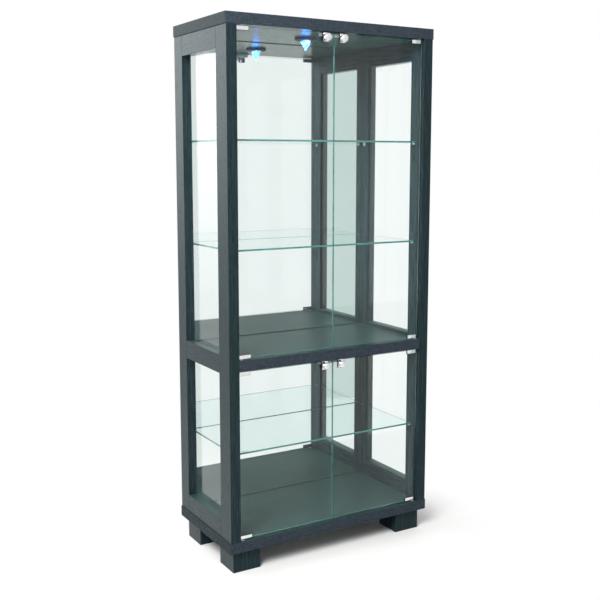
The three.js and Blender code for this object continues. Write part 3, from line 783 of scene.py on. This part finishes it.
def clamp(door, side, end):
    """A pivot clamp: a bright channel round the corner of the glass with its pivot pin, a rubber liner that
    shows as a thin dark line, and two grub screws at the back."""
    source = f"{door}_{end}_clamp"
    way = 1 if end == "top" else -1
    glass_low, glass_high = corners_of(f"{door}_glass")
    low, high = corners_of(source)
    axis_x, centre_y, glass_bottom, glass_top = pivot_line(door, side)
    half = (high[1] - low[1]) / 2
    slot = (glass_high[1] - glass_low[1]) / 2 + LINER
    body_top = (glass_top if way > 0 else glass_bottom) + way * CLAMP_OVER_GLASS
    body_end = low[2] if way > 0 else high[2]
    height = abs(body_top - body_end)
    outline = channel_outline(half, height, slot, CLAMP_ROOF, CLAMP_CORNER) * [1, way]
    outline = outline if way > 0 else outline[::-1]
    base = np.array([low[0], centre_y, body_top])
    width = high[0] - low[0]
    shells = [prism(outline, soft_ends(width, 0.5 * MM), 0, base)]
    pin_top = abs((high[2] if way > 0 else low[2]) - body_top)
    pin = [[2, -0.5], [2, 1], [2, pin_top / MM - 0.8], [1.3, pin_top / MM]]
    radii, heights = (np.array(pin) * MM).T
    shells.append(turned(radii, heights, (axis_x, centre_y, body_top), 2, way, 24))
    piece(f"{source}_metal", shells, [METAL], door, (source,))
    lined(f"{source}_liner", door, slot, height, width, base, way)

    middle = (low[0] + high[0]) / 2
    screws = []
    for step in (-1, 1):
        at = (middle + step * GRUB_SCREW_STEP, centre_y + half, (body_top + body_end) / 2)
        screws.append(socket_screw(at, 1, 1, GRUB_SCREW_RADIUS, GRUB_SCREW_HEIGHT))
    piece(f"{source}_grub_screws", screws, [METAL], door)


def pull(door):
    """A clip-on pull: a bright channel over the top edge of the glass and a domed knob on a waisted neck."""
    source = f"{door}_pull"
    glass_low, glass_high = corners_of(f"{door}_glass")
    low, high = corners_of(source)
    centre_y = (glass_low[1] + glass_high[1]) / 2
    half = high[1] - centre_y
    slot = (glass_high[1] - glass_low[1]) / 2 + LINER
    middle = (low[0] + high[0]) / 2
    top = high[2]
    outline = channel_outline(half, CLIP_HEIGHT, slot, CLAMP_ROOF, CLIP_CORNER)
    base = np.array([middle - CLIP_WIDTH / 2, centre_y, top])
    shells = [prism(outline, soft_ends(CLIP_WIDTH, 0.6 * MM), 0, base)]
    wall = centre_y - half
    rim = wall - low[1] - KNOB_RISE
    neck = NECK_PROFILE.copy()
    neck_start = neck[0, 1]
    neck_end = neck[-1, 1]
    neck[:, 1] = np.interp(neck[:, 1], [neck_start, neck_end], [neck_start, rim - NECK_GAP])
    radii, heights = np.concatenate([neck, dome(KNOB_RADIUS, rim, KNOB_RISE, 10)]).T
    shells.append(turned(radii, heights, (middle, wall, top - KNOB_BELOW_TOP), 1, -1, 64))
    piece(f"{source}_metal", shells, [METAL], door, (source,))
    lined(f"{source}_liner", door, slot, CLIP_HEIGHT, CLIP_WIDTH, base)


def all_doors():
    """Two clamps and a pull for each of the four doors."""
    for storey in STOREYS:
        for hand, side in HANDS.items():
            door = f"{storey}_{hand}_door"
            clamp(door, side, "top")
            clamp(door, side, "bottom")
            pull(door)


def pivot_bushes():
    """Plastic bushes for the pivot pins, let into the boards with a thin flange: a closed profile turned."""
    radii, heights = BUSH_PROFILE.T
    for storey in STOREYS:
        for hand, side in HANDS.items():
            door = f"{storey}_{hand}_door"
            x, y, glass_bottom, glass_top = pivot_line(door, side)
            ends = (("top", glass_top + DOOR_END_PLAY, -1), ("bottom", glass_bottom - DOOR_END_PLAY, 1))
            for end, z, way in ends:
                shell = turned(radii, heights, (x, y, z), 2, way, 32, endless=True)
                piece(f"{door}_{end}_bush", [shell], [GREY], "cabinet")


CATCH_LENGTH = 96 * MM
CATCH_PLATE = 2 * MM
POLE_FROM_MIDDLE = 32 * MM
POLE_STEP = 5.5 * MM
POLE_WIDTH = 7 * MM
POLE_HEIGHT = 5 * MM
POLE_DEPTH = 1 * MM
POLE_SHOWS = 0.25 * MM
POLE_OVER_FOOT = 4.6 * MM
CATCH_SCREW_FROM_MIDDLE = 52.5 * MM
CATCH_SCREW_RADIUS = 2.2 * MM
CATCH_SCREW_HEIGHT = 0.8 * MM


def catches():
    """Double magnetic catches: a moulded housing on a thin plate, four pole plates and two screws."""
    for storey in STOREYS:
        source = f"{storey}_catch"
        low, high = corners_of(source)
        depth = high[1] - low[1]
        middle = (low + high) / 2
        plate_foot = high[2] - CATCH_PLATE
        house_outline = rectangle(CATCH_LENGTH, depth, 2 * MM)
        plate_outline = rectangle(high[0] - low[0], depth - 2 * MM, 3 * MM)
        house_base = (middle[0], middle[1], low[2])
        plate_base = (middle[0], middle[1], plate_foot)
        house = prism(house_outline, soft_ends(high[2] - low[2], 1.2 * MM), 2, house_base)
        plate = prism(plate_outline, soft_ends(CATCH_PLATE, 0.5 * MM), 2, plate_base)
        piece(f"{source}_housing", [house, plate], [GREY], "cabinet", (source,))
        pole_outline = rectangle(POLE_WIDTH, POLE_HEIGHT, 0.4 * MM)
        poles = []
        for side in (-1, 1):
            for step in (-1, 1):
                x = side * POLE_FROM_MIDDLE + step * POLE_STEP
                base = (x, low[1] - POLE_SHOWS, low[2] + POLE_OVER_FOOT)
                poles.append(prism(pole_outline, soft_ends(POLE_DEPTH, 0.1 * MM), 1, base))
        piece(f"{source}_pole_plates", poles, [DARK], "cabinet")
        screws = []
        for side in (-1, 1):
            at = (side * CATCH_SCREW_FROM_MIDDLE, middle[1], plate_foot)
            screws.append(socket_screw(at, 2, -1, CATCH_SCREW_RADIUS, CATCH_SCREW_HEIGHT, hexagon=False))
        piece(f"{source}_screws", screws, [METAL], "cabinet")


# ---- Lamp ----

# The first five belong to the lamp's profile, which is in millimetres until it is turned.
CAN_RADIUS = 29
CAN_BORE = 26
COLLAR_BORE = 13
CAN_WALL = 3
DISC_GAP = 0.35
LIGHT_BOARD_RADIUS = 24 * MM
LIGHT_BOARD_THICKNESS = 1.6 * MM
LIGHT_BOARD_BELOW_TOP = 3.4 * MM
CRYSTAL_SIDES = 12


def lamp():
    """The lamp: a turned dark body with its can and disc, a lit board up in the can, and a cut crystal."""
    low, high = corners_of("lamp_body")
    centre = (low + high) / 2
    ceiling = corners_of("top_board")[0][2]
    base = (centre[0], centre[1], ceiling)
    disc = (high[0] - low[0]) / 2 / MM
    foot = (low[2] - ceiling) / MM
    top = (high[2] - ceiling) / MM
    profile = np.array([
        [1, top - CAN_WALL], [CAN_BORE, top - CAN_WALL],
        [CAN_BORE, foot + CAN_WALL], [COLLAR_BORE, foot + CAN_WALL],
        [COLLAR_BORE, foot + 0.4], [COLLAR_BORE + 0.6, foot],
        [disc - 7, foot], [disc - 6.4, foot + 0.5], [disc - 5.4, foot + 0.5], [disc - 4.8, foot],
        [disc - 3, foot + 0.5], [disc - 1, foot + 2.3], [disc, foot + 4.4], [disc, -DISC_GAP],
        [CAN_RADIUS, -DISC_GAP], [CAN_RADIUS, top], [1, top],
    ]) * MM
    radii, heights = profile.T
    body = turned(radii, heights, base, 2, 1, 96, endless=True)
    piece("lamp_can_and_disc", [body], [DARK], "cabinet", ("lamp_body",))

    board_base = (centre[0], centre[1], high[2] - LIGHT_BOARD_BELOW_TOP)
    board = turned([LIGHT_BOARD_RADIUS] * 2, [0, -LIGHT_BOARD_THICKNESS], board_base, 2, 1, 48)
    piece("lamp_light_board", [board], [LIGHT_BOARD], "cabinet")
    crystal(base)


def crystal(base):
    """A faceted drop: rings of twelve points, every other ring turned by half a facet, so that the faces
    between them are cut as triangles, from the neck down over the girdle to a small ball at the tip."""
    low, high = corners_of("lamp_crystal")
    sides = CRYSTAL_SIDES
    length = high[2] - low[2]
    girdle = (high[0] - low[0]) / 2
    share = np.array([0.0, 0.083, 0.09, 0.2, 0.42, 0.66, 0.80, 0.84, 0.88, 0.93, 0.975, 1.0])
    radii = np.array([0.58, 0.58, 0.93, 1.0, 0.78, 0.50, 0.26, 0.15, 0.19, 0.205, 0.15, 0.05]) * girdle
    heights = high[2] - share * length
    turn = (np.arange(len(share)) % 2)[:, None] * np.pi / sides
    angle = np.linspace(0, 2 * np.pi, sides, endpoint=False)[None] + turn
    rings = np.stack([
        base[0] + radii[:, None] * np.cos(angle),
        base[1] + radii[:, None] * np.sin(angle),
        np.repeat(heights[:, None], sides, axis=1),
    ], axis=-1)
    points = rings.reshape(-1, 3)
    ids = np.arange(len(points)).reshape(len(share), sides)
    faces = []
    for ring in range(len(share) - 1):
        here, below = ids[ring], ids[ring + 1]
        ahead = np.roll(below, 1 if ring % 2 == 0 else -1)
        lean = np.roll(here, -1)
        if ring % 2 == 0:
            faces += np.stack([here, ahead, below], axis=-1).tolist()
            faces += np.stack([here, below, lean], axis=-1).tolist()
        else:
            faces += np.stack([here, below, ahead], axis=-1).tolist()
            faces += np.stack([here, ahead, lean], axis=-1).tolist()
    faces += [ids[0].tolist(), ids[-1, ::-1].tolist()]
    shell = (points, faces, [0] * len(faces))
    piece("lamp_cut_crystal", [shell], [CRYSTAL], "cabinet", ("lamp_crystal",), crease=4)


# ---- Back ----

SCREW_INSET = 4.5 * MM
FIRST_SIDE_SCREW = 60 * MM
FIRST_END_SCREW = 120 * MM
SCREW_RADIUS = 3.2 * MM
SCREW_HEIGHT = 1.3 * MM


def back_screws():
    """Cross-headed screws along the edges of the back panel."""
    low, high = corners_of("back_panel")
    columns = np.linspace(low[2] + FIRST_SIDE_SCREW, high[2] - FIRST_SIDE_SCREW, 7)
    rows = np.linspace(low[0] + FIRST_END_SCREW, high[0] - FIRST_END_SCREW, 4)
    places = [(x, z) for x in (low[0] + SCREW_INSET, high[0] - SCREW_INSET) for z in columns]
    places += [(x, z) for z in (low[2] + SCREW_INSET, high[2] - SCREW_INSET) for x in rows]
    screws = []
    for x, z in places:
        screws.append(socket_screw((x, high[1], z), 1, 1, SCREW_RADIUS, SCREW_HEIGHT, hexagon=False))
    piece("back_panel_screws", screws, [METAL], "cabinet")


def grommet():
    """The rubber grommet of the lead hole: a closed profile turned, with a round flange."""
    low, high = corners_of("lead_grommet")
    centre = (low + high) / 2
    base = (centre[0], high[1], centre[2])
    flange = (high[0] - low[0]) / 2 / MM
    length = (high[1] - low[1]) / MM
    profile = np.array([
        [2.5, -length], [2.5, -0.5], [3.0, 0], [flange - 0.9, 0], [flange - 0.2, -0.35],
        [flange, -1.0], [flange, -2.3], [4.7, -2.3], [4.7, -length],
    ]) * MM
    radii, heights = profile.T
    shell = turned(radii, heights, base, 1, 1, 40, endless=True)
    piece("lead_hole_grommet", [shell], [RUBBER], "cabinet", ("lead_grommet",))


# ---- Studio ----

FLOOR_REACH = 14.0
# How far from the middle the floor starts to turn white, and where it is wholly white.
WHITE_FROM = 1.3
WHITE_BY = 3.2
SEEN_WHITE_FROM = 0.36
SEEN_WHITE_BY = 0.75

STAND_POINT = (-1.657, -2.761, 1.358)
TURN = 30.64
TILT = -7.49
LENS = 55.1
LENS_SHIFT = -0.035
SKY_FILL = 0.5
FLOOR_FILL = 0.3


def dimmed(tree, plain, for_fill):
    """A strength that is lower for the light that falls on matt surfaces than for what is seen."""
    fill = node(tree, "LightPath").outputs["Is Diffuse Ray"]
    return maths(tree, "MULTIPLY_ADD", fill, for_fill - plain, plain)


def studio_floor():
    """A flat pale floor whose own paint grows into plain white light with the distance from the middle,
    sooner where it is seen straight or through glass than where it is mirrored."""
    made, tree, shader, place = finish("studio_floor", Roughness=0.6, Specular_IOR_Level=0.2)
    reach = node(tree, "VectorMath", {0: place}, operation="LENGTH").outputs["Value"]
    mottle = noise(tree, place, 3.0, 3.0)
    pale = blend_colour(tree, mottle, (0.80, 0.795, 0.785, 1), (0.83, 0.825, 0.815, 1))
    fill = node(tree, "LightPath").outputs["Is Diffuse Ray"]
    dim = (FLOOR_FILL, FLOOR_FILL, FLOOR_FILL, 1)
    feed(tree, shader.inputs["Base Color"], blend_colour(tree, fill, pale, dim))
    strength = dimmed(tree, 1.0, FLOOR_FILL)
    glow = node(tree, "Emission", {"Color": (1, 1, 1, 1), "Strength": strength}).outputs[0]
    paths = node(tree, "LightPath").outputs
    seen = maths(tree, "MAXIMUM", paths["Is Camera Ray"], paths["Is Transmission Ray"])
    near_edge = maths(tree, "MULTIPLY_ADD", seen, SEEN_WHITE_FROM - WHITE_FROM, WHITE_FROM)
    far_edge = maths(tree, "MULTIPLY_ADD", seen, SEEN_WHITE_BY - WHITE_BY, WHITE_BY)
    far = spread(tree, reach, near_edge, far_edge)
    mixed = node(tree, "MixShader", {0: far, 1: shader.outputs[0], 2: glow}).outputs[0]
    feed(tree, tree.nodes["Material Output"].inputs["Surface"], mixed)
    mesh = bpy.data.meshes.new("floor")
    corners = np.array([[-1, -1], [1, -1], [1, 1], [-1, 1]]) * FLOOR_REACH
    mesh.from_pydata([(x, y, 0) for x, y in corners.tolist()], [], [[0, 1, 2, 3]])
    mesh.materials.append(made)
    floor = bpy.data.objects.new("floor", mesh)
    bpy.context.scene.collection.objects.link(floor)


def soft_light(name, place, aim, size, power):
    """A square soft white light that looks at a point."""
    lamp_data = bpy.data.lights.new(name, "AREA")
    lamp_data.shape = "SQUARE"
    lamp_data.size = size
    lamp_data.energy = power
    made = bpy.data.objects.new(name, lamp_data)
    made.location = place
    away = np.array(place, float) - np.array(aim, float)
    flat = math.hypot(away[0], away[1])
    made.rotation_euler = (math.atan2(flat, away[2]), 0, math.atan2(away[0], -away[1]))
    made.visible_camera = False
    bpy.context.scene.collection.objects.link(made)


def studio():
    """A plain white room, dimmer for the light that it throws on matt surfaces, and its lights."""
    scene = bpy.context.scene
    world = bpy.data.worlds.new("white_room")
    world.use_nodes = True
    sky = world.node_tree.nodes["Background"]
    sky.inputs["Color"].default_value = (1, 1, 1, 1)
    feed(world.node_tree, sky.inputs["Strength"], dimmed(world.node_tree, 1.0, SKY_FILL))
    scene.world = world
    scene.view_settings.view_transform = "Standard"
    scene.cycles.max_bounces = 24
    scene.cycles.transmission_bounces = 20
    scene.cycles.glossy_bounces = 8
    scene.cycles.transparent_max_bounces = 24
    scene.cycles.sample_clamp_indirect = 2.5
    soft_light("key_light", place=(-2.6, -2.0, 3.2), aim=(0, 0, 0.8), size=1.8, power=240)
    light_wall()
    grey = (0.62, 0.71, 0.69, 1)
    mirror_card("grey_card", start=(1.03, -1.20), end=(1.45, -1.03), height=2.4, colour=grey)


def upright(name, start, end, height, material):
    """A stage sheet that stands on the floor between two points of it."""
    mesh = bpy.data.meshes.new(name)
    feet = [start, end, end, start]
    corners = [(x, y, z) for (x, y), z in zip(feet, (0, 0, height, height))]
    mesh.from_pydata(corners, [], [[0, 1, 2, 3]])
    mesh.materials.append(material)
    sheet = bpy.data.objects.new(name, mesh)
    bpy.context.scene.collection.objects.link(sheet)
    return sheet


def light_wall():
    """A tall lit wall at the back left, brighter with height, that shines along the left side."""
    made = bpy.data.materials.new("light_wall")
    made.use_nodes = True
    tree = made.node_tree
    height = node(tree, "SeparateXYZ", {0: node(tree, "TexCoord").outputs["Object"]}).outputs["Z"]
    power = spread(tree, height, 0.2, 2.5, 1.0, 3.6)
    paint = node(tree, "Emission", {"Color": (1, 1, 1, 1), "Strength": power}).outputs[0]
    feed(tree, tree.nodes["Material Output"].inputs["Surface"], paint)
    made.cycles.emission_sampling = "NONE"
    wall = upright("light_wall", start=(-2.9, 2.3), end=(-0.52, 3.4), height=3.2, material=made)
    wall.visible_camera = False


def mirror_card(name, start, end, height, colour):
    """A card that shows only in what reflects it."""
    made = bpy.data.materials.new(name)
    made.use_nodes = True
    tree = made.node_tree
    paint = node(tree, "Emission", {"Color": colour, "Strength": 1.0}).outputs[0]
    clear = node(tree, "BsdfTransparent").outputs[0]
    reflected = maths(tree, "MINIMUM", node(tree, "LightPath").outputs["Glossy Depth"], 1.0)
    mixed = node(tree, "MixShader", {0: reflected, 1: clear, 2: paint}).outputs[0]
    feed(tree, tree.nodes["Material Output"].inputs["Surface"], mixed)
    card = upright(name, start, end, height, made)
    card.visible_diffuse = False
    card.visible_shadow = False


def camera():
    """A camera at the left of the front, above the middle of the case, with a small vertical lens shift."""
    data = bpy.data.cameras.new("camera")
    data.lens = LENS
    data.shift_y = LENS_SHIFT
    made = bpy.data.objects.new("camera", data)
    made.location = STAND_POINT
    made.rotation_euler = (math.radians(90 + TILT), 0, math.radians(-TURN))
    bpy.context.scene.collection.objects.link(made)
    bpy.context.scene.camera = made


camera()
dress_case()
all_glass()
mirror_strips()
all_beads()
shelf_pins()
all_doors()
pivot_bushes()
catches()
lamp()
back_screws()
grommet()
studio_floor()
studio()
